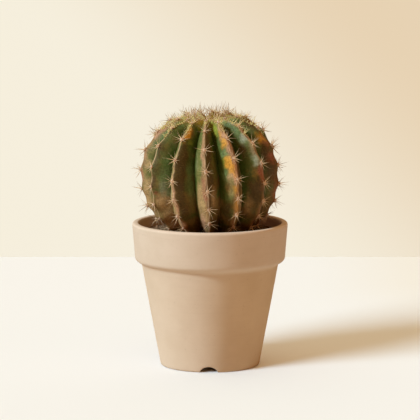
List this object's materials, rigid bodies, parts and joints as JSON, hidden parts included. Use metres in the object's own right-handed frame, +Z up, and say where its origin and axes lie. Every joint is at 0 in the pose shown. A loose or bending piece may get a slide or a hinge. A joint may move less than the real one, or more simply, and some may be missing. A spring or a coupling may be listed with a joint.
{
  "type": "potted round cactus",
  "caption": "Round ribbed cactus with rows of spines, growing in dark soil in a plain tapered clay pot with a rim band.",
  "frame": {"origin": "centre of the pot's foot, on the surface that the pot stands on", "axes": "+Z up along the pot's axis, -Y the front, with one drain notch; +X to the right seen from the front"},
  "size_m": [0.11, 0.11, 0.1882],
  "materials": {
    "clay": "matte",
    "soil": "matte",
    "plant": "satin"
  },
  "bodies": {
    "root": {"pot": "clay", "soil": "soil", "cactus": "plant"}
  },
  "joints": []
}
